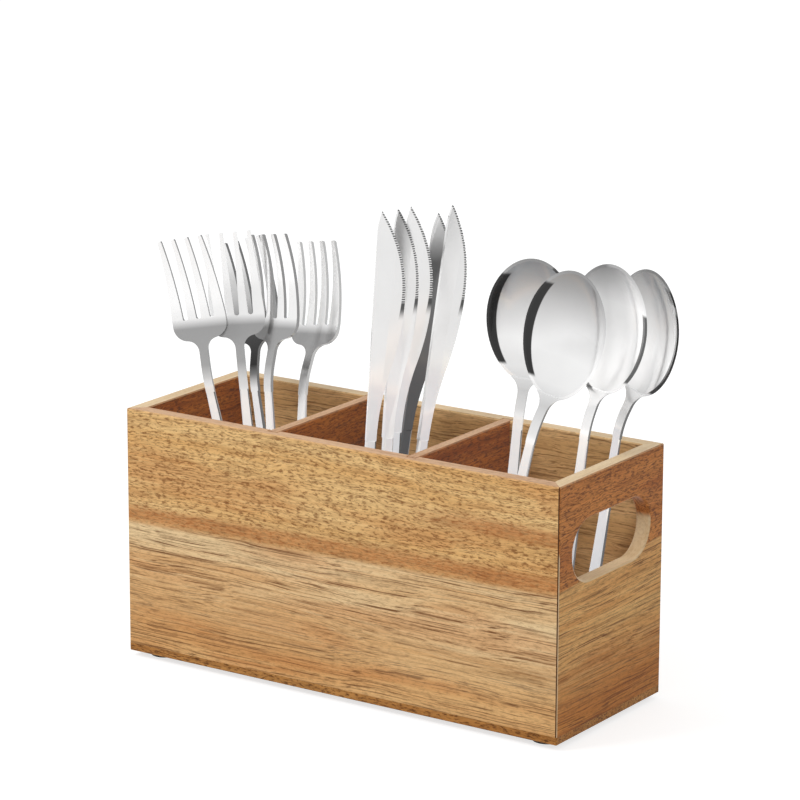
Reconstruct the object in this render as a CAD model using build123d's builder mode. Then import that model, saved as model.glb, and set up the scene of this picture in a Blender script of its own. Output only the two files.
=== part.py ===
from build123d import *
import os
from math import asin, atan2, cos, degrees, radians, sin, sqrt, tan

os.makedirs("parts", exist_ok=True)

# A three-bay wooden utensil caddy with an oval hand slot in each end, holding five forks,
# five dinner knives and four soup spoons. X runs along the caddy, Y from front to back and
# Z up, in millimetres, from the middle of the footprint on the table.

# The box.
CADDY_LENGTH = 255.0
CADDY_DEPTH = 96.0
BOX_HEIGHT = 127.0
WALL = 8.0
BASE_THICKNESS = 4.0
DIVIDER_THICKNESS = 6.0
BAYS = 3
GROOVE_DEPTH = 3.0
GROOVE_END_GAP = 0.5
EDGE_EASE = 0.6

# The oval hand slots.
SLOT_LENGTH = 71.0
SLOT_HEIGHT = 31.0
SLOT_DROP = 36.5
SLOT_ROUNDING = 1.2

# The stick-on pads.
PAD_RADIUS = 8.0
PAD_HEIGHT = 3.0
PAD_INSET = 13.0
PAD_EASE = 0.6

# What every utensil shares.
SEAT_CLEARANCE = 0.3
BAY_MARGIN = 4.5
HANDLE_FOOT_WIDTH = 8.0
HANDLE_FOOT_THICKNESS = 4.0
HANDLE_BEVEL = 0.9
HANDLE_END_ROUNDING = 3.0

# Forks.
FORK_HANDLE_LENGTH = 129.0
FORK_SLOPE = 3.5
FORK_NECK_WIDTH = 4.4
FORK_METAL = 2.2
FORK_NECK_RADIUS = 40.0
FORK_NECK_TURN = 21.0
FORK_NECK_RUN = 8.0
FORK_BOWL_RADIUS = 85.0
FORK_BOWL_TURN = 39.5
FORK_HEAD_WIDTH = 28.0
FORK_WEB = 2.5
FORK_SHOULDER_LENGTH = 13.5
FORK_SHOULDER_FLARE = 6.0
TINE_COUNT = 4
TINE_LENGTH = 43.0
TINE_PITCH = 7.0
TINE_ROOT_WIDTH = 4.5
TINE_TIP_WIDTH = 1.9

# Knives.
KNIFE_LENGTH = 234.0
KNIFE_HANDLE_LENGTH = 116.0
KNIFE_NECK_WIDTH = 5.2
KNIFE_BLADE_WIDTH = 15.6
KNIFE_BELLY = 44.0
KNIFE_TIP_X = -0.6
KNIFE_TIP_DROP = 12.0
KNIFE_NECK_THICKNESS = 3.4
KNIFE_BOLSTER = 25.0
KNIFE_SPINE = 2.2
KNIFE_TIP_THICKNESS = 1.4
KNIFE_EDGE = 0.5
TOOTH_START = 3.0
TOOTH_PITCH = 1.6
TOOTH_DEPTH = 0.45

# Spoons.
SPOON_HANDLE_LENGTH = 132.0
SPOON_SLOPE = 2.0
SPOON_NECK_WIDTH = 4.8
SPOON_METAL = 1.8
SPOON_NECK_RADIUS = 34.0
SPOON_NECK_TURN = 26.0
SPOON_NECK_RUN = 8.0
SPOON_NECK_FLARE = 8.0
SPOON_FLARE_TURN = 64.0
SPOON_TILT = 2.0
BOWL_LENGTH = 65.0
BOWL_WIDTH = 44.0
BOWL_DEPTH = 8.0
BOWL_WIDEST = 34.0
BOWL_METAL = 0.8
BOWL_OVERLAP = 2.0

# Where each utensil stands: its foot and the point where it passes the rim, each across the
# bay and from front to back, as shares of the way from the bay's middle to its walls, and
# the turn of its face from the caddy's front towards its right end, in degrees.
FORK_STANDS = [
    (0.024, 0.140, -0.679, -0.124, 23.8),
    (0.306, -0.083, -0.287, 0.093, 35.0),
    (0.795, -0.210, -0.437, 0.724, 5.4),
    (0.740, -0.340, 0.189, 0.275, -1.2),
    (0.996, -0.448, 0.403, 0.820, 1.8),
]
KNIFE_STANDS = [
    (-0.524, -0.081, -0.176, -0.239, 45.0),
    (-0.419, 0.234, -0.073, 0.039, 63.9),
    (-0.609, 0.596, -0.165, 0.379, 38.7),
    (-1.009, 1.008, -0.190, 0.721, 56.7),
    (0.119, -0.096, 0.429, 0.242, 63.8),
]
SPOON_STANDS = [
    (-1.011, 0.639, -0.445, 0.326, 19.3),
    (-0.704, -0.419, 0.146, -0.193, 1.0),
    (0.232, 0.257, 0.767, 0.263, -0.8),
    (0.184, 1.046, 1.017, 0.781, -13.8),
]

# Worked out from the dimensions above.
BASE_Z = PAD_HEIGHT
FLOOR_Z = BASE_Z + BASE_THICKNESS
RIM_Z = BASE_Z + BOX_HEIGHT
SLOT_Z = RIM_Z - SLOT_DROP
INNER_LENGTH = CADDY_LENGTH - 2 * WALL
INNER_DEPTH = CADDY_DEPTH - 2 * WALL
BAY_LENGTH = (INNER_LENGTH - (BAYS - 1) * DIVIDER_THICKNESS) / BAYS
BAY_PITCH = BAY_LENGTH + DIVIDER_THICKNESS
BAY_CENTRES = [(bay - (BAYS - 1) / 2) * BAY_PITCH for bay in range(BAYS)]
DIVIDER_CENTRES = [(a + b) / 2 for a, b in zip(BAY_CENTRES, BAY_CENTRES[1:])]
GROOVE_LENGTH = GROOVE_DEPTH + GROOVE_END_GAP


def write(piece, name):
    """Labels a finished piece and writes it as the STEP file of that name."""
    piece.label = name
    export_step(piece, f"parts/{name}.step")


def long_panel_outline(side):
    """Plan of the front (side -1) or back (side 1) panel, mitred at both ends."""
    outer, inner = side * CADDY_DEPTH / 2, side * INNER_DEPTH / 2
    with BuildLine() as outline:
        Polyline(
            (-CADDY_LENGTH / 2, outer),
            (CADDY_LENGTH / 2, outer),
            (INNER_LENGTH / 2, inner),
            (-INNER_LENGTH / 2, inner),
            close=True,
        )
    make_face(outline.edges())


def end_panel_outline(side):
    """Plan of the left (side -1) or right (side 1) end panel, mitred at both ends."""
    outer, inner = side * CADDY_LENGTH / 2, side * INNER_LENGTH / 2
    with BuildLine() as outline:
        Polyline(
            (outer, -CADDY_DEPTH / 2),
            (outer, CADDY_DEPTH / 2),
            (inner, INNER_DEPTH / 2),
            (inner, -INNER_DEPTH / 2),
            close=True,
        )
    make_face(outline.edges())


# Front and back panels, with a groove for each divider's end, open at the rim.
for side, name in ((-1, "front_panel"), (1, "back_panel")):
    with BuildPart() as long_panel:
        with BuildSketch(Plane.XY.offset(FLOOR_Z)):
            long_panel_outline(side)
        extrude(amount=BOX_HEIGHT - BASE_THICKNESS)
        rim = long_panel.faces().sort_by(Axis.Z)[-1]
        long_rim_edges = rim.edges().filter_by(Axis.X)
        outer_corners = long_panel.edges().filter_by(Axis.Z).group_by(Axis.Y)[0 if side < 0 else -1]
        chamfer(long_rim_edges + outer_corners, EDGE_EASE)
        groove_middle = side * (INNER_DEPTH + GROOVE_LENGTH) / 2
        with BuildSketch(Plane.XY.offset(FLOOR_Z)):
            with Locations(*[(x, groove_middle) for x in DIVIDER_CENTRES]):
                Rectangle(DIVIDER_THICKNESS, GROOVE_LENGTH)
        extrude(amount=BOX_HEIGHT, mode=Mode.SUBTRACT)
    write(long_panel.part, name)

# End panels, each with its oval hand slot rounded over on both faces.
for side, name in ((-1, "left_end_panel"), (1, "right_end_panel")):
    with BuildPart() as end_panel:
        with BuildSketch(Plane.XY.offset(FLOOR_Z)):
            end_panel_outline(side)
        extrude(amount=BOX_HEIGHT - BASE_THICKNESS)
        rim = end_panel.faces().sort_by(Axis.Z)[-1]
        long_rim_edges = rim.edges().filter_by(Axis.Y)
        outer_corners = end_panel.edges().filter_by(Axis.Z).group_by(Axis.X)[0 if side < 0 else -1]
        chamfer(long_rim_edges + outer_corners, EDGE_EASE)
        with BuildSketch(Plane.YZ.offset(side * (CADDY_LENGTH - WALL) / 2)):
            with Locations((0, SLOT_Z)):
                SlotOverall(SLOT_LENGTH, SLOT_HEIGHT)
        slot = extrude(amount=WALL, both=True, mode=Mode.SUBTRACT)
        near_slot = end_panel.edges().filter_by_position(Axis.Z, SLOT_Z - SLOT_HEIGHT, SLOT_Z + SLOT_HEIGHT)
        slot_edges = near_slot.filter_by(
            lambda edge: edge.geom_type == GeomType.CIRCLE or edge.length < SLOT_LENGTH
            and abs(edge.tangent_at(0.5).Y) > 0.99
        )
        fillet(slot_edges, SLOT_ROUNDING)
    write(end_panel.part, name)

# Dividers, housed in the grooves of the front and back panels, level with the rim.
for centre, name in zip(DIVIDER_CENTRES, ("divider_left", "divider_right")):
    with BuildPart() as divider:
        with BuildSketch(Plane.XY.offset(FLOOR_Z)):
            with Locations((centre, 0)):
                Rectangle(DIVIDER_THICKNESS, INNER_DEPTH + 2 * GROOVE_DEPTH)
        extrude(amount=BOX_HEIGHT - BASE_THICKNESS)
        top = divider.faces().sort_by(Axis.Z)[-1]
        chamfer(top.edges().filter_by(Axis.Y), EDGE_EASE)
    write(divider.part, name)

# The base board, glued on below the four panels and the dividers.
with BuildPart() as base_board:
    with BuildSketch(Plane.XY.offset(BASE_Z)):
        Rectangle(CADDY_LENGTH, CADDY_DEPTH)
    extrude(amount=BASE_THICKNESS)
    chamfer(base_board.edges().filter_by(Axis.Z), EDGE_EASE)
    chamfer(base_board.faces().sort_by(Axis.Z)[0].edges(), EDGE_EASE / 2)
write(base_board.part, "base_board")

# Four round pads under the corners.
PAD_PLACES = [
    (x * (CADDY_LENGTH / 2 - PAD_INSET), y * (CADDY_DEPTH / 2 - PAD_INSET))
    for y in (-1, 1)
    for x in (-1, 1)
]
PAD_NAMES = ("pad_front_left", "pad_front_right", "pad_back_left", "pad_back_right")
for place, name in zip(PAD_PLACES, PAD_NAMES):
    with BuildPart() as pad:
        with BuildSketch(Plane.XY):
            with Locations(place):
                Circle(PAD_RADIUS)
        extrude(amount=PAD_HEIGHT)
        chamfer(pad.faces().sort_by(Axis.Z)[0].edges(), PAD_EASE)
    write(pad.part, name)


def front_view(bay_centre, stand):
    """Plane of a utensil as seen from its front: origin at its foot, y up its handle."""
    foot_across, foot_back, rim_across, rim_back, turn = stand
    half_length = BAY_LENGTH / 2 - BAY_MARGIN
    half_depth = INNER_DEPTH / 2 - BAY_MARGIN
    foot_x, foot_y = bay_centre + foot_across * half_length, foot_back * half_depth
    rim_x, rim_y = bay_centre + rim_across * half_length, rim_back * half_depth
    up = Vector(rim_x - foot_x, rim_y - foot_y, RIM_Z - FLOOR_Z).normalized()
    facing = Vector(sin(radians(turn)), -cos(radians(turn)), 0)
    right = up.cross(facing).normalized()
    face = right.cross(up)
    drop = (HANDLE_FOOT_WIDTH * abs(right.Z) + HANDLE_FOOT_THICKNESS * abs(face.Z)) / 2
    foot = Vector(foot_x, foot_y, FLOOR_Z + SEAT_CLEARANCE + drop)
    return Plane(origin=foot, x_dir=right, z_dir=face)


def side_view(front):
    """Plane of the same utensil seen from its side: x to its front, y up its handle."""
    return Plane(origin=front.origin, x_dir=front.z_dir, z_dir=-front.x_dir)


def handle_sections(front, length, slope, neck_width, neck_thickness):
    """Bevelled cross-sections of a handle, from its rounded foot up to its neck."""
    sections = []
    up = front.y_dir
    foot_inset = HANDLE_END_ROUNDING / 2
    stations = (
        (0, HANDLE_FOOT_WIDTH - 2 * foot_inset, HANDLE_FOOT_THICKNESS - foot_inset),
        (HANDLE_END_ROUNDING, HANDLE_FOOT_WIDTH, HANDLE_FOOT_THICKNESS),
        (length, neck_width, neck_thickness),
    )
    for height, width, thickness in stations:
        centre = front.origin + up * height + front.z_dir * (height * tan(radians(slope)))
        with BuildSketch(Plane(origin=centre, x_dir=front.x_dir, z_dir=up)) as section:
            outline = Rectangle(width, thickness)
            chamfer(outline.vertices(), HANDLE_BEVEL * thickness / HANDLE_FOOT_THICKNESS)
        sections.append(section.sketch)
    return sections


def rising(angle):
    """Direction in a side view that leans from the handle's line to the front by angle."""
    return (sin(radians(angle)), cos(radians(angle)))


def neck_start(length, slope):
    """Top end of the straight handle in a side view."""
    return (length * tan(radians(slope)), length)


# Fork: the head is a flat blank, cut to its outline and pressed to its side view.
FORK_SIDE_START = neck_start(FORK_HANDLE_LENGTH, FORK_SLOPE)


def fork_side_line():
    """Centre line of the fork's neck and head in its side view."""
    neck = JernArc(FORK_SIDE_START, rising(FORK_SLOPE), FORK_NECK_RADIUS, FORK_NECK_TURN)
    run = Line(neck @ 1, neck @ 1 + (neck % 1) * FORK_NECK_RUN)
    JernArc(run @ 1, run % 1, FORK_BOWL_RADIUS, -FORK_BOWL_TURN)


with BuildLine() as fork_line:
    fork_side_line()
FORK_TIP = (fork_line.line @ 1).Y
ROOT_Y = FORK_TIP - TINE_LENGTH
SHOULDER_Y = ROOT_Y - FORK_WEB - FORK_SHOULDER_LENGTH


def fork_head_outline():
    """Front view of the head: neck, shoulders, four tapering tines with round roots."""
    half_neck, half_head = FORK_NECK_WIDTH / 2, FORK_HEAD_WIDTH / 2
    turn = 2 * atan2(half_head - half_neck, FORK_SHOULDER_LENGTH)
    round_radius = FORK_SHOULDER_LENGTH / sin(turn) - FORK_SHOULDER_FLARE
    gap = TINE_PITCH - TINE_ROOT_WIDTH
    with BuildLine() as outline:
        flare = JernArc((half_neck, SHOULDER_Y), (0, 1), FORK_SHOULDER_FLARE, -degrees(turn))
        shoulder = JernArc(flare @ 1, flare % 1, round_radius, degrees(turn))
        side = Line(shoulder @ 1, (half_head, ROOT_Y + gap / 2))
        Line(side @ 1, (0, ROOT_Y + gap / 2))
        Line((half_neck, SHOULDER_Y), (half_neck, FORK_HANDLE_LENGTH))
        Line((half_neck, FORK_HANDLE_LENGTH), (0, FORK_HANDLE_LENGTH))
        mirror(about=Plane.YZ)
    make_face(outline.edges())
    gaps = [(k - (TINE_COUNT - 2) / 2) * TINE_PITCH for k in range(TINE_COUNT - 1)]
    with Locations(*[(x, ROOT_Y + gap / 2) for x in gaps]):
        Circle(gap / 2, mode=Mode.SUBTRACT)
    for k in range(TINE_COUNT):
        place = k - (TINE_COUNT - 1) / 2
        outside = abs(place) == (TINE_COUNT - 1) / 2
        tine_outline(place * TINE_PITCH, outside)


def tine_outline(centre, outside):
    """One tine; the outer ones keep the head's full width at the root."""
    root_y = ROOT_Y + (TINE_PITCH - TINE_ROOT_WIDTH) / 2
    left, right = centre - TINE_ROOT_WIDTH / 2, centre + TINE_ROOT_WIDTH / 2
    if outside and centre > 0:
        right = FORK_HEAD_WIDTH / 2
    if outside and centre < 0:
        left = -FORK_HEAD_WIDTH / 2
    half_tip = TINE_TIP_WIDTH / 2
    tip_y = FORK_TIP - half_tip
    with BuildLine() as outline:
        Polyline((centre - half_tip, tip_y), (left, root_y), (right, root_y), (centre + half_tip, tip_y))
        ThreePointArc((centre + half_tip, tip_y), (centre, FORK_TIP), (centre - half_tip, tip_y))
    make_face(outline.edges())


def make_fork(name, front):
    """One fork: bevelled handle, then the pressed head."""
    with BuildPart() as fork:
        with BuildSketch(side_view(front)):
            with BuildLine() as centre_line:
                fork_side_line()
            trace(centre_line.line, FORK_METAL)
        extrude(amount=FORK_HEAD_WIDTH, both=True)
        with BuildSketch(front):
            fork_head_outline()
        extrude(amount=FORK_HEAD_WIDTH, both=True, mode=Mode.INTERSECT)
        loft(
            handle_sections(front, FORK_HANDLE_LENGTH, FORK_SLOPE, FORK_NECK_WIDTH, FORK_METAL),
            ruled=True,
        )
    write(fork.part, name)


for number, stand in enumerate(FORK_STANDS, start=1):
    make_fork(f"fork_{number}", front_view(BAY_CENTRES[0], stand))


# Knife: straight bevelled handle, and a blade that thins from its spine to a toothed edge.
NECK_HALF = KNIFE_NECK_WIDTH / 2
BELLY_X = KNIFE_BLADE_WIDTH - NECK_HALF
BELLY_Y = KNIFE_LENGTH - KNIFE_BELLY
EDGE_RADIUS = (KNIFE_BELLY**2 + (BELLY_X - KNIFE_TIP_X) ** 2) / (2 * (BELLY_X - KNIFE_TIP_X))
EDGE_CENTRE_X = BELLY_X - EDGE_RADIUS


def knife_blade_outline():
    """Front view of the blade: straight spine on the left, curved edge on the right."""
    fall = BELLY_Y - KNIFE_HANDLE_LENGTH
    turn = 2 * atan2(BELLY_X - NECK_HALF, fall)
    sweep_radius = fall / sin(turn) / 2
    spine_end = (-NECK_HALF, KNIFE_LENGTH - KNIFE_TIP_DROP)
    tip = (KNIFE_TIP_X, KNIFE_LENGTH)
    with BuildLine() as outline:
        Line((-NECK_HALF, KNIFE_HANDLE_LENGTH), spine_end)
        TangentArc(spine_end, tip, tangent=(0, 1))
        RadiusArc(tip, (BELLY_X, BELLY_Y), EDGE_RADIUS)
        inward = JernArc((BELLY_X, BELLY_Y), (0, -1), sweep_radius, -degrees(turn))
        JernArc(inward @ 1, inward % 1, sweep_radius, degrees(turn))
        Line((NECK_HALF, KNIFE_HANDLE_LENGTH), (-NECK_HALF, KNIFE_HANDLE_LENGTH))
    make_face(outline.edges())


def knife_teeth():
    """Fine notches along the upper part of the edge, set out on the edge arc's centre."""
    reach = asin((KNIFE_BELLY - TOOTH_START) / EDGE_RADIUS)
    count = round(EDGE_RADIUS * reach / TOOTH_PITCH)
    notch = TOOTH_DEPTH * sqrt(2)
    with Locations((EDGE_CENTRE_X, BELLY_Y)):
        with PolarLocations(EDGE_RADIUS, count, angular_range=degrees(reach)):
            Rectangle(notch, notch, rotation=45, mode=Mode.SUBTRACT)


def knife_blade_side(front):
    """Side view of the blade: it thins from the neck to the tip."""
    with BuildSketch(side_view(front)) as side:
        with BuildLine():
            Polyline(
                (-KNIFE_NECK_THICKNESS / 2, KNIFE_HANDLE_LENGTH),
                (-KNIFE_SPINE / 2, KNIFE_HANDLE_LENGTH + KNIFE_BOLSTER),
                (-KNIFE_TIP_THICKNESS / 2, KNIFE_LENGTH),
                (KNIFE_TIP_THICKNESS / 2, KNIFE_LENGTH),
                (KNIFE_SPINE / 2, KNIFE_HANDLE_LENGTH + KNIFE_BOLSTER),
                (KNIFE_NECK_THICKNESS / 2, KNIFE_HANDLE_LENGTH),
                close=True,
            )
        make_face()
    return side.sketch


def knife_blade_section(front):
    """Cross-section of the blade: full at the spine, thin at the edge."""
    plane = Plane(
        origin=front.origin + front.y_dir * KNIFE_HANDLE_LENGTH,
        x_dir=front.x_dir,
        z_dir=front.y_dir,
    )
    with BuildSketch(plane) as section:
        with BuildLine():
            Polyline(
                (-NECK_HALF, -KNIFE_NECK_THICKNESS / 2),
                (BELLY_X, -KNIFE_EDGE / 2),
                (BELLY_X, KNIFE_EDGE / 2),
                (-NECK_HALF, KNIFE_NECK_THICKNESS / 2),
                close=True,
            )
        make_face()
    return section.sketch


def make_knife(name, front):
    """One knife: the blade cut from three views, then the handle."""
    with BuildPart() as knife:
        with BuildSketch(front):
            knife_blade_outline()
            knife_teeth()
        extrude(amount=KNIFE_NECK_THICKNESS, both=True)
        extrude(knife_blade_side(front), amount=KNIFE_BLADE_WIDTH, both=True, mode=Mode.INTERSECT)
        extrude(knife_blade_section(front), amount=KNIFE_LENGTH, mode=Mode.INTERSECT)
        loft(
            handle_sections(front, KNIFE_HANDLE_LENGTH, 0, KNIFE_NECK_WIDTH, KNIFE_NECK_THICKNESS),
            ruled=True,
        )
    write(knife.part, name)


for number, stand in enumerate(KNIFE_STANDS, start=1):
    make_knife(f"knife_{number}", front_view(BAY_CENTRES[1], stand))


# Spoon: the neck dips into the back of a bowl that is turned about a line along its front.
with BuildLine() as spoon_line:
    spoon_neck = JernArc(
        neck_start(SPOON_HANDLE_LENGTH, SPOON_SLOPE),
        rising(SPOON_SLOPE),
        SPOON_NECK_RADIUS,
        SPOON_NECK_TURN,
    )
    spoon_reach = (spoon_neck % 1) * (SPOON_NECK_RUN + BOWL_OVERLAP)
    spoon_run = Line(spoon_neck @ 1, spoon_neck @ 1 + spoon_reach)
BOWL_AHEAD = Vector(*rising(SPOON_TILT))
BOWL_FRONT = Vector(BOWL_AHEAD.Y, -BOWL_AHEAD.X)
NECK_AHEAD = spoon_run % 1
NECK_BACK = Vector(-NECK_AHEAD.Y, NECK_AHEAD.X)
BOWL_START = spoon_run @ 1 - NECK_AHEAD * BOWL_OVERLAP + NECK_BACK * SPOON_METAL / 2
CROSS_RADIUS = ((BOWL_WIDTH / 2) ** 2 + BOWL_DEPTH**2) / (2 * BOWL_DEPTH)


def bowl_point(along, forward):
    """Point in the side view, along the bowl from its neck and forward of its rim."""
    return BOWL_START + BOWL_AHEAD * along + BOWL_FRONT * forward


def bowl_curve(lift):
    """Side view of the bowl's outer face, or of its inner face lifted by the metal."""
    bottom = bowl_point(BOWL_WIDEST, lift - BOWL_DEPTH)
    TangentArc(bottom, bowl_point(0, lift), tangent=-BOWL_AHEAD)
    TangentArc(bottom, bowl_point(BOWL_LENGTH, lift), tangent=BOWL_AHEAD)


def spoon_bowl(front):
    """The bowl: a thin turned shell, cut off flat at its rim."""
    side = side_view(front)
    axis_start = side.from_local_coords(bowl_point(0, CROSS_RADIUS - BOWL_DEPTH))
    axis_end = side.from_local_coords(bowl_point(BOWL_LENGTH, CROSS_RADIUS - BOWL_DEPTH))
    rim_start = side.from_local_coords(bowl_point(0, 0))
    rim_normal = side.from_local_coords(bowl_point(0, 1)) - rim_start
    with BuildPart() as bowl:
        with BuildSketch(side):
            with BuildLine():
                bowl_curve(0)
                bowl_curve(BOWL_METAL)
                for end in (0, BOWL_LENGTH):
                    Line(bowl_point(end, 0), bowl_point(end, BOWL_METAL))
            make_face()
        revolve(axis=Axis(axis_start, axis_end - axis_start))
        split(bisect_by=Plane(origin=rim_start, z_dir=rim_normal), keep=Keep.BOTTOM)
    return bowl.part


def spoon_neck_outline():
    """Front view of the neck: slim, then flaring into the bowl's back."""
    half_neck = SPOON_NECK_WIDTH / 2
    flare_y = BOWL_START.Y + BOWL_OVERLAP - SPOON_NECK_FLARE * sin(radians(SPOON_FLARE_TURN))
    with BuildLine() as outline:
        flare = JernArc((half_neck, flare_y), (0, 1), SPOON_NECK_FLARE, -SPOON_FLARE_TURN)
        Line(flare @ 1, (0, (flare @ 1).Y))
        Line((half_neck, flare_y), (half_neck, SPOON_HANDLE_LENGTH))
        Line((half_neck, SPOON_HANDLE_LENGTH), (0, SPOON_HANDLE_LENGTH))
        mirror(about=Plane.YZ)
    make_face(outline.edges())


def make_spoon(name, front):
    """One spoon: neck, handle and bowl in one piece."""
    with BuildPart() as spoon:
        with BuildSketch(side_view(front)):
            trace([spoon_neck, spoon_run], SPOON_METAL)
        extrude(amount=BOWL_WIDTH, both=True)
        with BuildSketch(front):
            spoon_neck_outline()
        extrude(amount=BOWL_WIDTH, both=True, mode=Mode.INTERSECT)
        loft(
            handle_sections(front, SPOON_HANDLE_LENGTH, SPOON_SLOPE, SPOON_NECK_WIDTH, SPOON_METAL),
            ruled=True,
        )
        add(spoon_bowl(front))
    write(spoon.part, name)


for number, stand in enumerate(SPOON_STANDS, start=1):
    make_spoon(f"spoon_{number}", front_view(BAY_CENTRES[2], stand))
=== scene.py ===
from math import cos, radians, sin

import bpy
from mathutils import Matrix, Vector

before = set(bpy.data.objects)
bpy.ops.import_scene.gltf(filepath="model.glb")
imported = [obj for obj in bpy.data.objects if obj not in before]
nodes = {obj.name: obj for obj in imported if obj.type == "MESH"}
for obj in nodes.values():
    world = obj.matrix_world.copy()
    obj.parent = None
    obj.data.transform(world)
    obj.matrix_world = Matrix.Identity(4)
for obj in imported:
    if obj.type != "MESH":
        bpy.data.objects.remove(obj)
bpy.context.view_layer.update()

# ---------------------------------------------------------------------------------------
# Box panels. Oiled acacia, 8 mm thick, glued at mitred corners and sanded flush. Each panel
# is two staves edge to edge: a warm one with short dark dashes above, and a paler one with
# long thin grain lines below. The rim and the slot's rounded edge show paler cut wood.
# ---------------------------------------------------------------------------------------


def make_group(name, inputs, outputs):
    """A shader node group with float, vector and colour sockets; returns it with its ends."""
    group = bpy.data.node_groups.new(name, "ShaderNodeTree")
    kinds = {"f": "NodeSocketFloat", "v": "NodeSocketVector", "c": "NodeSocketColor"}
    for in_out, sockets in (("INPUT", inputs), ("OUTPUT", outputs)):
        for label, kind in sockets:
            group.interface.new_socket(label, in_out=in_out, socket_type=kinds[kind])
    start = group.nodes.new("NodeGroupInput")
    end = group.nodes.new("NodeGroupOutput")
    return group, start, end


def add_node(tree, kind, links=(), **settings):
    """A node with its settings, and with its input sockets linked or set."""
    node = tree.nodes.new("ShaderNode" + kind)
    for key, value in settings.items():
        setattr(node, key, value)
    for key, value in dict(links).items():
        if isinstance(value, bpy.types.NodeSocket):
            tree.links.new(value, node.inputs[key])
        else:
            node.inputs[key].default_value = value
    return node


def stretch(tree, vector, scale):
    """The same coordinates, multiplied along each axis."""
    return add_node(tree, "Mapping", {"Vector": vector, "Scale": scale}).outputs[0]


def noise(tree, vector, scale, detail=3.0, rough=0.5, distort=0.0):
    """A noise value from 0 to 1."""
    sockets = {"Vector": vector, "Scale": scale, "Detail": detail}
    sockets |= {"Roughness": rough, "Distortion": distort}
    return add_node(tree, "TexNoise", sockets).outputs["Fac"]


def ramp(tree, value, low, high):
    """Value taken from low..high to 0..1, smoothly and clamped."""
    sockets = {"Value": value, "From Min": low, "From Max": high}
    return add_node(tree, "MapRange", sockets, interpolation_type="SMOOTHSTEP").outputs[0]


def mix(tree, amount, first, second):
    """Two colours mixed by an amount."""
    return add_node(tree, "Mix", {0: amount, 6: first, 7: second}, data_type="RGBA").outputs[2]


def math_node(tree, operation, first, second=0.0):
    """One arithmetic step on values."""
    return add_node(tree, "Math", {0: first, 1: second}, operation=operation).outputs[0]


def times(tree, first, second):
    """Two values multiplied."""
    return math_node(tree, "MULTIPLY", first, second)


def grain_coordinates(tree, along):
    """Coordinates in metres with X turned along the board's grain."""
    place = add_node(tree, "TexCoord").outputs["Object"]
    if along == "X":
        return place
    quarter_turn = (0.0, 0.0, radians(-90))
    return add_node(tree, "Mapping", {"Vector": place, "Rotation": quarter_turn}).outputs[0]


def wood_group():
    """Acacia along X: soft bands, red streaks, long thin lines and short dark dashes."""
    colours = [(label, "c") for label in ("Pale", "Middle", "Dark", "Red")]
    amounts = [(label, "f") for label in ("Bands", "Reds", "Lines", "Dashes", "Wave")]
    group, start, end = make_group(
        "acacia",
        [("Place", "v"), *colours, *amounts],
        [("Color", "c"), ("Roughness", "f"), ("Height", "f")],
    )
    get = start.outputs
    slow = noise(group, stretch(group, get["Place"], (6.0, 26.0, 26.0)), 1.0, 2.0)
    quick = noise(group, stretch(group, get["Place"], (48.0, 120.0, 120.0)), 1.0, 2.0)
    lift = times(group, math_node(group, "SUBTRACT", slow, 0.5), 0.014)
    ripple = times(group, math_node(group, "SUBTRACT", quick, 0.5), 0.0035)
    lift = math_node(group, "ADD", lift, times(group, ripple, get["Wave"]))
    shift = add_node(group, "CombineXYZ", {1: lift, 2: lift}).outputs[0]
    place = add_node(group, "VectorMath", {0: get["Place"], 1: shift}, operation="ADD").outputs[0]

    bands = noise(group, stretch(group, place, (4.0, 60.0, 60.0)), 1.0, 3.0, 0.55, 0.3)
    reds = noise(group, stretch(group, place, (7.0, 55.0, 48.0)), 1.3, 2.0, 0.5, 0.4)
    streaks = noise(group, stretch(group, place, (6.0, 520.0, 520.0)), 1.0, 3.0, 0.6)
    lines = noise(group, stretch(group, place, (13.0, 1250.0, 1250.0)), 1.0, 3.0, 0.65)
    dashes = noise(group, stretch(group, place, (300.0, 1150.0, 1150.0)), 1.0, 3.0, 0.65)
    flecks = noise(group, stretch(group, place, (90.0, 520.0, 520.0)), 1.0, 3.0, 0.6)

    pits = times(group, ramp(group, dashes, 0.46, 0.66), get["Dashes"])
    fleck_amount = times(group, get["Dashes"], 0.3)
    base = get["Middle"]
    for pattern, low, high, amount, tone in (
        (bands, 0.35, 0.65, get["Bands"], "Pale"),
        (reds, 0.48, 0.68, get["Reds"], "Red"),
        (streaks, 0.5, 0.75, 0.3, "Dark"),
        (streaks, 0.5, 0.3, 0.45, "Pale"),
        (lines, 0.46, 0.7, get["Lines"], "Dark"),
        (flecks, 0.46, 0.7, fleck_amount, "Dark"),
    ):
        base = mix(group, times(group, ramp(group, pattern, low, high), amount), base, get[tone])
    base = mix(group, pits, base, get["Dark"])
    group.links.new(base, end.inputs["Color"])
    rough = math_node(group, "ADD", times(group, streaks, 0.16), 0.42)
    group.links.new(rough, end.inputs["Roughness"])
    height = math_node(group, "SUBTRACT", times(group, streaks, 0.5), pits)
    group.links.new(height, end.inputs["Height"])
    return group


acacia = wood_group()


def srgb(red, green, blue):
    """A display colour, 0 to 255, as the linear colour that shaders take."""
    linear = [((c / 255 + 0.055) / 1.055) ** 2.4 for c in (red, green, blue)]
    return (*linear, 1.0)


def look(pale, middle, dark, red, bands=0.8, reds=0.4, lines=0.3, dashes=0.4, wave=1.0):
    """The socket values that make one kind of stave out of the acacia group."""
    colours = {"Pale": pale, "Middle": middle, "Dark": dark, "Red": red}
    values = {"Bands": bands, "Reds": reds, "Lines": lines, "Dashes": dashes, "Wave": wave}
    return {key: srgb(*colour) for key, colour in colours.items()} | values


def part_of(tree, output, axis):
    """One component of the object coordinates (metres) or of the object-space normal."""
    vector = add_node(tree, "TexCoord").outputs[output]
    return add_node(tree, "SeparateXYZ", {0: vector}).outputs[axis]


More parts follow.
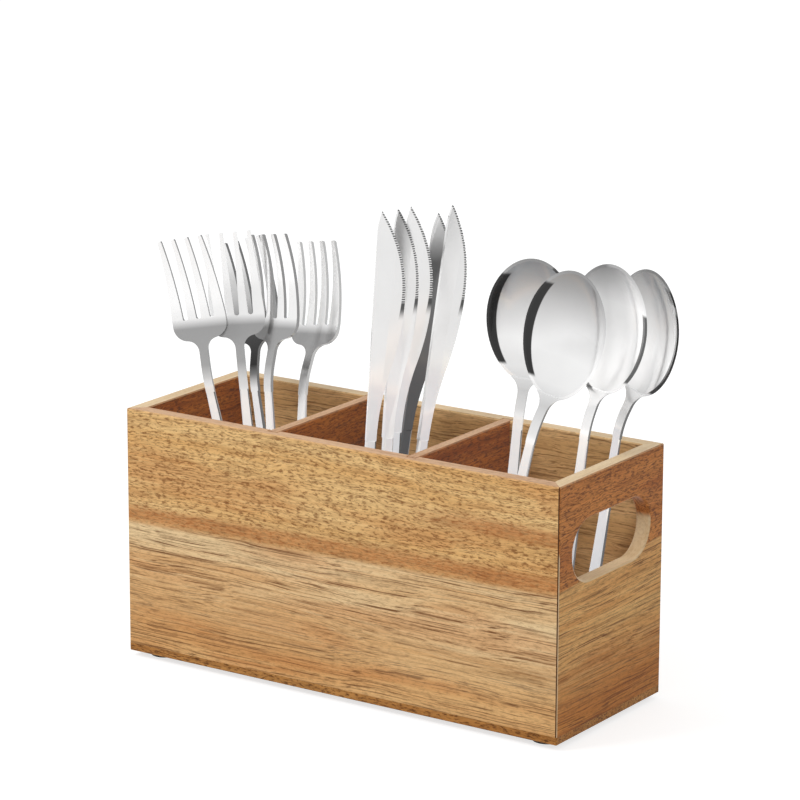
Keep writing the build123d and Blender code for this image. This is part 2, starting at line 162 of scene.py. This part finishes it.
def over_seam(tree, axis, height, slope, blur):
    """1 above the glue line between two staves, which may run a little out of level."""
    level = math_node(tree, "ADD", times(tree, part_of(tree, "Object", axis), slope), height)
    over = math_node(tree, "SUBTRACT", part_of(tree, "Object", "Z"), level)
    return ramp(tree, over, -blur, blur)


def facing(tree, axis, low, high):
    """1 where the surface's normal along an axis is past high; low to high may fall."""
    return ramp(tree, part_of(tree, "Normal", axis), low, high)


# Painted light: the boards glow a pale blue-white when seen in the steel's mirror images, so the
# steel shows no brown there.
WOOD_GLOW_IN_MIRRORS, WOOD_GLOW_IN_MIRRORS_STRENGTH = (0.84, 0.94, 1.0, 1), 0.95
WOOD_SPECULAR = 0.15


def board_material(name, along, shift, parts):
    """A board's finish. Each part is a look and the mask it covers, the first covering all."""
    material = bpy.data.materials.new(name)
    material.use_nodes = True
    tree = material.node_tree
    shader = tree.nodes["Principled BSDF"]
    place = grain_coordinates(tree, along)
    colour = rough = height = None
    for number, (values, make_mask) in enumerate(parts):
        offset = (shift + 0.37 * number, shift * 0.7, shift * 1.3 + 0.21 * number)
        moved = add_node(tree, "VectorMath", {0: place, 1: offset}).outputs[0]
        wood = add_node(tree, "Group", {"Place": moved} | values, node_tree=acacia)
        if colour is None:
            colour, rough, height = wood.outputs
        else:
            colour = mix(tree, make_mask(tree), colour, wood.outputs["Color"])
    tree.links.new(colour, shader.inputs["Base Color"])
    tree.links.new(rough, shader.inputs["Roughness"])
    # Painted light: the wood's glow, seen only in mirror images.
    mirrored = add_node(tree, "LightPath").outputs["Is Glossy Ray"]
    shader.inputs["Emission Color"].default_value = WOOD_GLOW_IN_MIRRORS
    tree.links.new(times(tree, mirrored, WOOD_GLOW_IN_MIRRORS_STRENGTH), shader.inputs["Emission Strength"])
    bump = add_node(tree, "Bump", {"Strength": 0.2, "Distance": 0.0002, "Height": height})
    tree.links.new(bump.outputs[0], shader.inputs["Normal"])
    shader.inputs["Specular IOR Level"].default_value = WOOD_SPECULAR
    return material


def set_material(node, material):
    """Gives a CAD node its finish in its own slot."""
    mesh = nodes[node].data
    mesh.materials.clear()
    mesh.materials.append(material)


FRONT_UPPER = look((255, 216, 152), (242, 192, 124), (130, 80, 40), (216, 148, 86),
                   dashes=0.8, lines=0.5, reds=0.5)
FRONT_RED = look((222, 152, 92), (204, 130, 72), (110, 62, 30), (188, 108, 56),
                 dashes=0.65, lines=0.5)
FRONT_LOWER = look((255, 226, 176), (240, 192, 134), (112, 68, 34), (228, 162, 104),
                   dashes=0.3, lines=0.95, reds=0.45, wave=0.3)
FRONT_FOOT = look((248, 202, 140), (228, 170, 108), (100, 58, 28), (214, 144, 84),
                  dashes=0.3, lines=0.95, reds=0.5, wave=0.3)
END_UPPER = look((222, 148, 80), (192, 116, 56), (96, 52, 22), (168, 90, 44),
                 dashes=0.85, lines=0.6, reds=0.5)
END_LOWER = look((252, 206, 136), (228, 168, 100), (100, 58, 26), (204, 132, 72),
                 dashes=0.3, lines=0.95, reds=0.5, wave=0.3)
END_FOOT = look((220, 150, 76), (192, 120, 56), (86, 46, 18), (174, 98, 44),
                dashes=0.3, lines=0.95, reds=0.5, wave=0.3)
RIM = look((226, 186, 146), (206, 162, 122), (146, 100, 70), (198, 146, 112),
           dashes=0.35, lines=0.15, reds=0.3)
CUT_EDGE = look((240, 216, 178), (228, 198, 154), (176, 136, 94), (216, 178, 134),
                dashes=0.2, lines=0.15, reds=0.1)
INNER_PALE = look((238, 200, 146), (208, 166, 112), (96, 58, 30), (188, 138, 88),
                  dashes=0.2, lines=0.8)
# Painted shade: the darker, redder look of the ends' inner faces and of the dividers, which stand
# in the box's shade.
INNER_SHADE = look((206, 128, 58), (166, 92, 38), (70, 34, 12), (150, 74, 28),
                  dashes=0.75, lines=0.5)
MITRE_GLUE = look(*[(84, 48, 24)] * 4, dashes=0.0, lines=0.0, reds=0.0)
half_length = max(corner[0] for corner in nodes["front_panel"].bound_box)
FRONT_SEAM_HEIGHT, FRONT_SEAM_SLOPE, FRONT_SEAM_BLUR = 0.0742, 0.02, 0.0014
END_SEAM_HEIGHT, END_SEAM_SLOPE, END_SEAM_BLUR = 0.081, 0.055, 0.0005
SEAM_STREAK_OFFSET, HIGH_STREAK_HEIGHT, STREAK_STRENGTH = 0.0043, 0.104, 0.7
FOOT_TONE_START, FOOT_TONE_FULL = 0.055, 0.012
SLOT_PALE_START, SLOT_PALE_FULL = 0.0985, 0.0945
GLUE_WIDTH = 0.0005


def rim_up(tree):
    """1 on the top of a board, past its softened edges."""
    return facing(tree, "Z", 0.6, 0.9)


def front_seam(tree):
    """The front's glue line, which climbs a little to the right."""
    return over_seam(tree, "X", FRONT_SEAM_HEIGHT, FRONT_SEAM_SLOPE, FRONT_SEAM_BLUR)


def front_streaks(tree):
    """Two soft red streaks: one along the glue line, and one higher up at the right."""
    x, z = [part_of(tree, "Object", axis) for axis in "XZ"]
    climb = times(tree, x, FRONT_SEAM_SLOPE)
    middle = math_node(tree, "ADD", climb, FRONT_SEAM_HEIGHT + SEAM_STREAK_OFFSET)
    from_first = math_node(tree, "ABSOLUTE", math_node(tree, "SUBTRACT", z, middle))
    from_second = math_node(tree, "ABSOLUTE", math_node(tree, "SUBTRACT", z, HIGH_STREAK_HEIGHT))
    first = ramp(tree, from_first, 0.0065, 0.0015)
    second = times(tree, ramp(tree, from_second, 0.007, 0.001), ramp(tree, x, 0.02, 0.1))
    return times(tree, math_node(tree, "MAXIMUM", first, second), STREAK_STRENGTH)


def end_seam(tree):
    """The right end's glue line, higher at the back."""
    return over_seam(tree, "Y", END_SEAM_HEIGHT, END_SEAM_SLOPE, END_SEAM_BLUR)


def toward_foot(tree):
    """0 at mid-height, growing to 1 near the base, where the wood is more orange."""
    return ramp(tree, part_of(tree, "Object", "Z"), FOOT_TONE_START, FOOT_TONE_FULL)


def faces_front(tree):
    """1 on faces that look toward the front."""
    return facing(tree, "Y", -0.6, -0.9)


def faces_right(tree):
    """1 on faces that look to the right."""
    return facing(tree, "X", 0.6, 0.9)


def faces_left(tree):
    """1 on faces that look to the left."""
    return facing(tree, "X", -0.6, -0.9)


def corner_glue(tree):
    """1 on the thin line where the mitre meets the right end."""
    inner = half_length - GLUE_WIDTH
    return ramp(tree, part_of(tree, "Object", "X"), inner, inner + 0.4 * GLUE_WIDTH)


def slot_edge(tree):
    """1 on the cut, rounded lower edge of a hand slot, which faces neither way along X."""
    flat = math_node(tree, "ABSOLUTE", part_of(tree, "Normal", "X"))
    low = ramp(tree, part_of(tree, "Object", "Z"), SLOT_PALE_START, SLOT_PALE_FULL)
    return times(tree, ramp(tree, flat, 0.985, 0.9), low)


long_staves = [(FRONT_LOWER, None), (FRONT_FOOT, toward_foot), (FRONT_UPPER, front_seam)]
end_staves = [(END_LOWER, None), (END_FOOT, toward_foot), (END_UPPER, end_seam)]
cut_edges = [(CUT_EDGE, slot_edge), (CUT_EDGE, rim_up)]
front_extras = [(FRONT_RED, front_streaks), (RIM, rim_up), (MITRE_GLUE, corner_glue)]
back_extras = [(INNER_PALE, faces_front), (CUT_EDGE, rim_up)]
# The ends' inner faces take the darker inner look: painted shade.
for panel, along, shift, parts in (
    ("front_panel", "X", 0.0, long_staves + front_extras),
    ("back_panel", "X", 0.31, long_staves + back_extras),
    ("left_end_panel", "Y", 0.57, [*end_staves, (INNER_SHADE, faces_right), *cut_edges]),
    ("right_end_panel", "Y", 0.83, [*end_staves, (INNER_SHADE, faces_left), *cut_edges]),
):
    set_material(panel, board_material(panel + "_wood", along, shift, parts))

# ---------------------------------------------------------------------------------------
# Dividers. Thinner boards, slid down into grooves and glued, that take the darker, redder
# inner look all over: painted shade, as they stand inside the box. Their tops are sanded
# level with the rim and show paler cut wood.
# ---------------------------------------------------------------------------------------
for divider, shift in (("divider_left", 1.1), ("divider_right", 1.4)):
    parts = [(INNER_SHADE, None), (RIM, rim_up)]
    set_material(divider, board_material(divider + "_wood", "Y", shift, parts))

# ---------------------------------------------------------------------------------------
# Base board. A thin board glued below the panels, its sawn edge an orange brown with short
# dark pores.
# ---------------------------------------------------------------------------------------
BASE = look((204, 148, 84), (188, 128, 66), (84, 46, 18), (170, 106, 50),
            dashes=0.85, lines=0.3, reds=0.4)
set_material("base_board", board_material("base_board_wood", "X", 1.9, [(BASE, None)]))

# ---------------------------------------------------------------------------------------
# Pads. Round stick-on feet of soft grey-black foam rubber, with fine open cells that show
# as a speckle.
# ---------------------------------------------------------------------------------------
pad_foam = bpy.data.materials.new("pad_foam")
pad_foam.use_nodes = True
pad_tree = pad_foam.node_tree
pad_shader = pad_tree.nodes["Principled BSDF"]
pad_place = add_node(pad_tree, "TexCoord").outputs["Object"]
pad_cells = noise(pad_tree, pad_place, 2600.0, 2.0)
pad_colour = mix(pad_tree, pad_cells, srgb(40, 38, 36), srgb(70, 66, 62))
pad_tree.links.new(pad_colour, pad_shader.inputs["Base Color"])
pad_bump = add_node(pad_tree, "Bump", {"Strength": 0.4, "Distance": 0.0002, "Height": pad_cells})
pad_tree.links.new(pad_bump.outputs[0], pad_shader.inputs["Normal"])
pad_shader.inputs["Roughness"].default_value = 0.85
for pad in ("pad_front_left", "pad_front_right", "pad_back_left", "pad_back_right"):
    set_material(pad, pad_foam)

# ---------------------------------------------------------------------------------------
# Cutlery. Stainless steel, forged or pressed, then polished all over. Each piece's colour
# holds painted reflections and shade that change down from its tip, where the bent heads
# mirror a duller part of the room. The bowls hold painted dark crescents, mirror images of
# darker things nearby; the narrow right-hand sides and the knives' ground, toothed edge
# hold painted shade, and the steel glows a little in other pieces' mirror images.
# ---------------------------------------------------------------------------------------
VIEW_SIDE = Vector((0.56, -0.83, 0))
STEEL_SPAN, STEEL_METALLIC, STEEL_ROUGHNESS = 0.1, 0.65, 0.13
# Painted reflections and shade, by depth below the tip: grey fork heads that mirror a duller part
# of the room, fork_3 dark where it stands in shade behind its neighbours, knife_4 painted dark from
# just below its tip down its handle, spoon bowls darker toward the tip.
STEEL_PAINTED_LIGHT_TONES = {
    "fork": [(0.0, 255), (0.043, 252), (0.048, 166), (0.066, 172), (0.074, 226), (0.085, 252)],
    "fork_3": [(0.0, 240), (0.03, 200), (0.05, 70), (0.066, 44), (0.071, 130), (0.078, 250)],
    "knife": [(0.0, 244), (0.04, 242), (0.1, 248)],
    "knife_4": [(0.0, 232), (0.012, 214), (0.026, 120), (0.1, 96)],
    "spoon": [(0.0, 142), (0.01, 170), (0.028, 220), (0.044, 252), (0.058, 246), (0.068, 214),
              (0.085, 250)],
    "spoon_3": [(0.0, 168), (0.008, 205), (0.02, 248), (0.05, 255), (0.085, 255)],
}
# Painted light: the steel glows with its own colour when seen in another piece's mirror image.
STEEL_GLOW_IN_MIRRORS = 0.45
# Painted shade on each piece's narrow right-hand sides, and on the knives' ground edge.
PAINTED_SIDE_SHADES = {"fork": 110, "fork_2": 90, "fork_4": 150, "fork_5": 196, "knife": 84, "spoon": 110}
TOOTHED_LENGTH, TOOTH_PITCH = 0.047, 0.0012
BLADE_REACH, WIDEST_DEPTH = 0.013, 0.042
GROUND_WIDTH, GROUND_FADE, GROUND_END = 0.0011, 0.049, 0.056
BOWL_HALF_WIDTH, BOWL_HALF_LENGTH, CRESCENT_FADE = 0.0212, 0.0325, 0.06
# Painted dark reflections inside the bowls, of darker things nearby.
PAINTED_REFLECTION_CRESCENTS = {
    "spoon_1": [(-1, 0.0039, -0.78, 0.72, 50)],
    "spoon_2": [(-1, 0.0039, -0.78, 0.72, 50)],
    "spoon_3": [(1, 0.0024, -0.75, 0.4, 96), (-1, 0.004, -1.0, -0.5, 140)],
    "spoon_4": [(1, 0.003, -0.9, 0.55, 60), (1, 0.006, 0.6, 0.85, 66)],
}


def piece_axes(mesh):
    """The way up along a piece, and across it to the right as its broad side is seen."""
    points = sorted((vertex.co for vertex in mesh.vertices), key=lambda point: point.z)
    end_count = len(points) // 20
    foot = sum(points[:end_count], Vector()) / end_count
    tip = sum(points[-end_count:], Vector()) / end_count
    up = (tip - foot).normalized()
    face = Vector()
    for polygon in mesh.polygons:
        if polygon.normal.dot(VIEW_SIDE) > 0.5:
            face += polygon.normal * polygon.area
    return up, up.cross(face).normalized()


def across(tree, vector, direction):
    """How far a vector goes along a direction."""
    ends = {0: vector, 1: direction}
    return add_node(tree, "VectorMath", ends, operation="DOT_PRODUCT").outputs["Value"]


def crescent_group():
    """A mask for a painted dark reflection inside a bowl's edge on one side: outside the bowl's
    oval moved by the width.
    """
    labels = ("Across", "Along", "Side", "Width", "Low", "High")
    group, start, end = make_group("crescent", [(label, "f") for label in labels], [("Mask", "f")])
    get = start.outputs
    out = times(group, get["Across"], get["Side"])
    moved = math_node(group, "ADD", out, get["Width"])
    oval = [
        math_node(group, "POWER", math_node(group, "DIVIDE", value, half), 2.0)
        for value, half in ((moved, BOWL_HALF_WIDTH), (get["Along"], BOWL_HALF_LENGTH))
    ]
    outside = ramp(group, math_node(group, "ADD", *oval), 0.99, 1.03)
    on_side = ramp(group, out, 0.0, 0.001)
    share = math_node(group, "DIVIDE", get["Along"], BOWL_HALF_LENGTH)
    low = ramp(group, share, get["Low"], math_node(group, "ADD", get["Low"], CRESCENT_FADE))
    high = ramp(group, share, get["High"], math_node(group, "SUBTRACT", get["High"], CRESCENT_FADE))
    mask = times(group, times(group, outside, on_side), times(group, low, high))
    group.links.new(mask, end.inputs["Mask"])
    return group


def ground_edge_shade_group():
    """A mask of painted shade along a knife's curved cutting edge, broken into teeth for the
    length from the tip.
    """
    inputs = [("Across", "f"), ("Depth", "f")]
    group, start, end = make_group("ground_edge_shade", inputs, [("Mask", "f")])
    across_blade, depth = start.outputs["Across"], start.outputs["Depth"]
    bow = math_node(group, "POWER", math_node(group, "SUBTRACT", depth, WIDEST_DEPTH), 2.0)
    drop = times(group, bow, BLADE_REACH / WIDEST_DEPTH**2)
    outline = math_node(group, "SUBTRACT", BLADE_REACH, drop)
    inward = math_node(group, "SUBTRACT", outline, across_blade)
    near = ramp(group, inward, GROUND_WIDTH, GROUND_WIDTH * 0.7)
    band = times(group, near, ramp(group, depth, GROUND_END, GROUND_FADE))
    tooth = math_node(group, "FRACT", math_node(group, "DIVIDE", depth, TOOTH_PITCH))
    toothed = ramp(group, depth, TOOTHED_LENGTH, TOOTHED_LENGTH - 0.001)
    gap = times(group, times(group, ramp(group, tooth, 0.5, 0.6), toothed), 0.9)
    mask = times(group, band, math_node(group, "SUBTRACT", 1.0, gap))
    group.links.new(mask, end.inputs["Mask"])
    return group


crescent, ground_edge_shade = crescent_group(), ground_edge_shade_group()


def steel_material(name, painted_light_tones, side_shade_grey, reflection_crescents, mesh):
    """Polished steel with painted light. The tones are (metres below the tip, display grey):
    painted reflections and shade. The edge grey is the painted shade of the narrow right-hand
    sides and of a knife's ground edge. The crescents are (side, width in metres, low end and
    high end as shares of the half bowl, grey), one for each painted dark mirror image inside
    a bowl."""
    up, side = piece_axes(mesh)
    material = bpy.data.materials.new(name)
    material.use_nodes = True
    tree = material.node_tree
    shader = tree.nodes["Principled BSDF"]
    place = add_node(tree, "TexCoord").outputs["Object"]
    top = max(vertex.co.dot(up) for vertex in mesh.vertices)
    # Painted reflections and shade: the colour follows the depth below the tip.
    depth = math_node(tree, "SUBTRACT", top, across(tree, place, up))
    tone = add_node(tree, "ValToRGB", {0: math_node(tree, "DIVIDE", depth, STEEL_SPAN)})
    stops = tone.color_ramp.elements
    for number, (below, grey) in enumerate(painted_light_tones):
        stop = stops[number] if number < 2 else stops.new(1.0)
        stop.position = below / STEEL_SPAN
        stop.color = srgb(grey, grey, grey)
    smudge = noise(tree, place, 60.0, 3.0)
    cloud = mix(tree, smudge, srgb(244, 244, 244), srgb(255, 255, 255))
    clouded = {0: 1.0, 6: tone.outputs[0], 7: cloud}
    colour = add_node(tree, "Mix", clouded, data_type="RGBA", blend_type="MULTIPLY").outputs[2]
    if reflection_crescents:
        bowl_end = top - 2 * BOWL_HALF_LENGTH
        head = [v.co.dot(side) for v in mesh.vertices if v.co.dot(up) > bowl_end]
        middle = (max(head) + min(head)) / 2
        u = math_node(tree, "SUBTRACT", across(tree, place, side), middle)
        w = math_node(tree, "SUBTRACT", BOWL_HALF_LENGTH, depth)
        for hand, width, low, high, grey in reflection_crescents:
            sockets = {"Across": u, "Along": w, "Side": hand, "Width": width}
            sockets |= {"Low": low, "High": high}
            mask = add_node(tree, "Group", sockets, node_tree=crescent).outputs["Mask"]
            colour = mix(tree, mask, colour, srgb(grey, grey, grey))
    # Painted shade: faces turned to the right take the edge grey.
    normal = add_node(tree, "TexCoord").outputs["Normal"]
    dark = ramp(tree, across(tree, normal, side), 0.56, 0.64)
    # Knives: painted shade along the ground edge too; the teeth are real, their dark is painted.
    if name.startswith("knife"):
        tip = max((vertex.co for vertex in mesh.vertices), key=lambda point: point.z)
        u = math_node(tree, "SUBTRACT", across(tree, place, side), tip.dot(side))
        sockets = {"Across": u, "Depth": depth}
        mask = add_node(tree, "Group", sockets, node_tree=ground_edge_shade).outputs["Mask"]
        dark = math_node(tree, "MAXIMUM", dark, mask)
    colour = mix(tree, dark, colour, srgb(side_shade_grey, side_shade_grey, side_shade_grey))
    tree.links.new(colour, shader.inputs["Base Color"])
    rough = math_node(tree, "ADD", times(tree, smudge, 0.06), STEEL_ROUGHNESS)
    tree.links.new(rough, shader.inputs["Roughness"])
    shader.inputs["Metallic"].default_value = STEEL_METALLIC
    # Painted light: a glow seen only in mirror images.
    seen_in_mirror = add_node(tree, "LightPath").outputs["Is Glossy Ray"]
    tree.links.new(colour, shader.inputs["Emission Color"])
    tree.links.new(times(tree, seen_in_mirror, STEEL_GLOW_IN_MIRRORS), shader.inputs["Emission Strength"])
    return material


for name in sorted(nodes):
    kind = name.split("_")[0]
    if kind in STEEL_PAINTED_LIGHT_TONES:
        painted_light_tones = STEEL_PAINTED_LIGHT_TONES.get(name, STEEL_PAINTED_LIGHT_TONES[kind])
        side_shade_grey = PAINTED_SIDE_SHADES.get(name, PAINTED_SIDE_SHADES[kind])
        reflection_crescents = PAINTED_REFLECTION_CRESCENTS.get(name, ())
        mesh = nodes[name].data
        set_material(name, steel_material(name + "_steel", painted_light_tones, side_shade_grey, reflection_crescents, mesh))

# ---------------------------------------------------------------------------------------
# Floor, light and camera. A white sweep, one large soft lamp, a bright room all round,
# and the photograph's view.
# ---------------------------------------------------------------------------------------
FLOOR_HALF, FLOOR_GREY, FLOOR_WHITE = 6.0, 0.5, 0.7
corners = [(x * FLOOR_HALF, y * FLOOR_HALF, 0) for x, y in ((-1, -1), (1, -1), (1, 1), (-1, 1))]
floor_mesh = bpy.data.meshes.new("floor")
floor_mesh.from_pydata(corners, [], [(0, 1, 2, 3)])
floor = bpy.data.objects.new("floor", floor_mesh)
bpy.context.scene.collection.objects.link(floor)
floor_paint = bpy.data.materials.new("floor_paint")
floor_paint.use_nodes = True
floor_tree = floor_paint.node_tree
floor_shader = floor_tree.nodes["Principled BSDF"]
floor_shader.inputs["Base Color"].default_value = (FLOOR_GREY, FLOOR_GREY, FLOOR_GREY, 1)
floor_shader.inputs["Roughness"].default_value = 0.95
floor_shader.inputs["Specular IOR Level"].default_value = 0.0
floor_rays = add_node(floor_tree, "LightPath").outputs
floor_seen = math_node(
    floor_tree, "MAXIMUM", floor_rays["Is Camera Ray"], floor_rays["Is Glossy Ray"]
)
floor_glow = times(floor_tree, floor_seen, FLOOR_WHITE)
floor_shader.inputs["Emission Color"].default_value = (1, 1, 1, 1)
floor_tree.links.new(floor_glow, floor_shader.inputs["Emission Strength"])
floor_mesh.materials.append(floor_paint)

world = bpy.data.worlds.new("studio")
bpy.context.scene.world = world
world.use_nodes = True
sky = world.node_tree
background = sky.nodes["Background"]
light_path = add_node(sky, "LightPath").outputs
seen = math_node(sky, "MAXIMUM", light_path["Is Camera Ray"], light_path["Is Glossy Ray"])
WORLD_LIGHT = 0.7
strength = math_node(sky, "ADD", times(sky, seen, 1.0 - WORLD_LIGHT), WORLD_LIGHT)
sky.links.new(strength, background.inputs["Strength"])
background.inputs["Color"].default_value = (1, 1, 1, 1)


def soft_lamp(name, place, size, watts):
    """A square area lamp aimed at the caddy."""
    lamp = bpy.data.lights.new(name, "AREA")
    lamp.size = size
    lamp.energy = watts
    holder = bpy.data.objects.new(name, lamp)
    bpy.context.scene.collection.objects.link(holder)
    holder.location = place
    aim = Vector((0, 0, 0.1)) - Vector(place)
    holder.rotation_euler = aim.to_track_quat("-Z", "Y").to_euler()
    return holder


KEY_PLACE, KEY_SIZE, KEY_WATTS = (-0.9, -1.2, 1.5), 0.7, 15
soft_lamp("key", KEY_PLACE, KEY_SIZE, KEY_WATTS).visible_glossy = False

CAMERA_AZIMUTH, CAMERA_ELEVATION, CAMERA_ROLL = radians(33.98), radians(14.63), radians(0.22)
CAMERA_TARGET = Vector((0, 0, 0.0665))
CAMERA_SHIFT_RIGHT, CAMERA_SHIFT_UP, CAMERA_DISTANCE = -0.00462, -0.07389, 1.924
FOCAL_PIXELS, PHOTO_PIXELS, SENSOR = 3875, 800, 36.0
back = Vector((
    sin(CAMERA_AZIMUTH) * cos(CAMERA_ELEVATION),
    -cos(CAMERA_AZIMUTH) * cos(CAMERA_ELEVATION),
    sin(CAMERA_ELEVATION),
))
right = (-back).cross(Vector((0, 0, 1))).normalized()
up = right.cross(-back)
rolled_right = right * cos(CAMERA_ROLL) + up * sin(CAMERA_ROLL)
rolled_up = up * cos(CAMERA_ROLL) - right * sin(CAMERA_ROLL)
lens = bpy.data.cameras.new("photo_view")
lens.sensor_width = SENSOR
lens.lens = FOCAL_PIXELS / PHOTO_PIXELS * SENSOR
lens.clip_end = 50
camera = bpy.data.objects.new("photo_view", lens)
bpy.context.scene.collection.objects.link(camera)
turn = Matrix((rolled_right, rolled_up, back)).transposed().to_4x4()
place = CAMERA_TARGET - rolled_right * CAMERA_SHIFT_RIGHT - rolled_up * CAMERA_SHIFT_UP
camera.matrix_world = Matrix.Translation(place + back * CAMERA_DISTANCE) @ turn
bpy.context.scene.camera = camera
bpy.context.scene.view_settings.view_transform = "Standard"
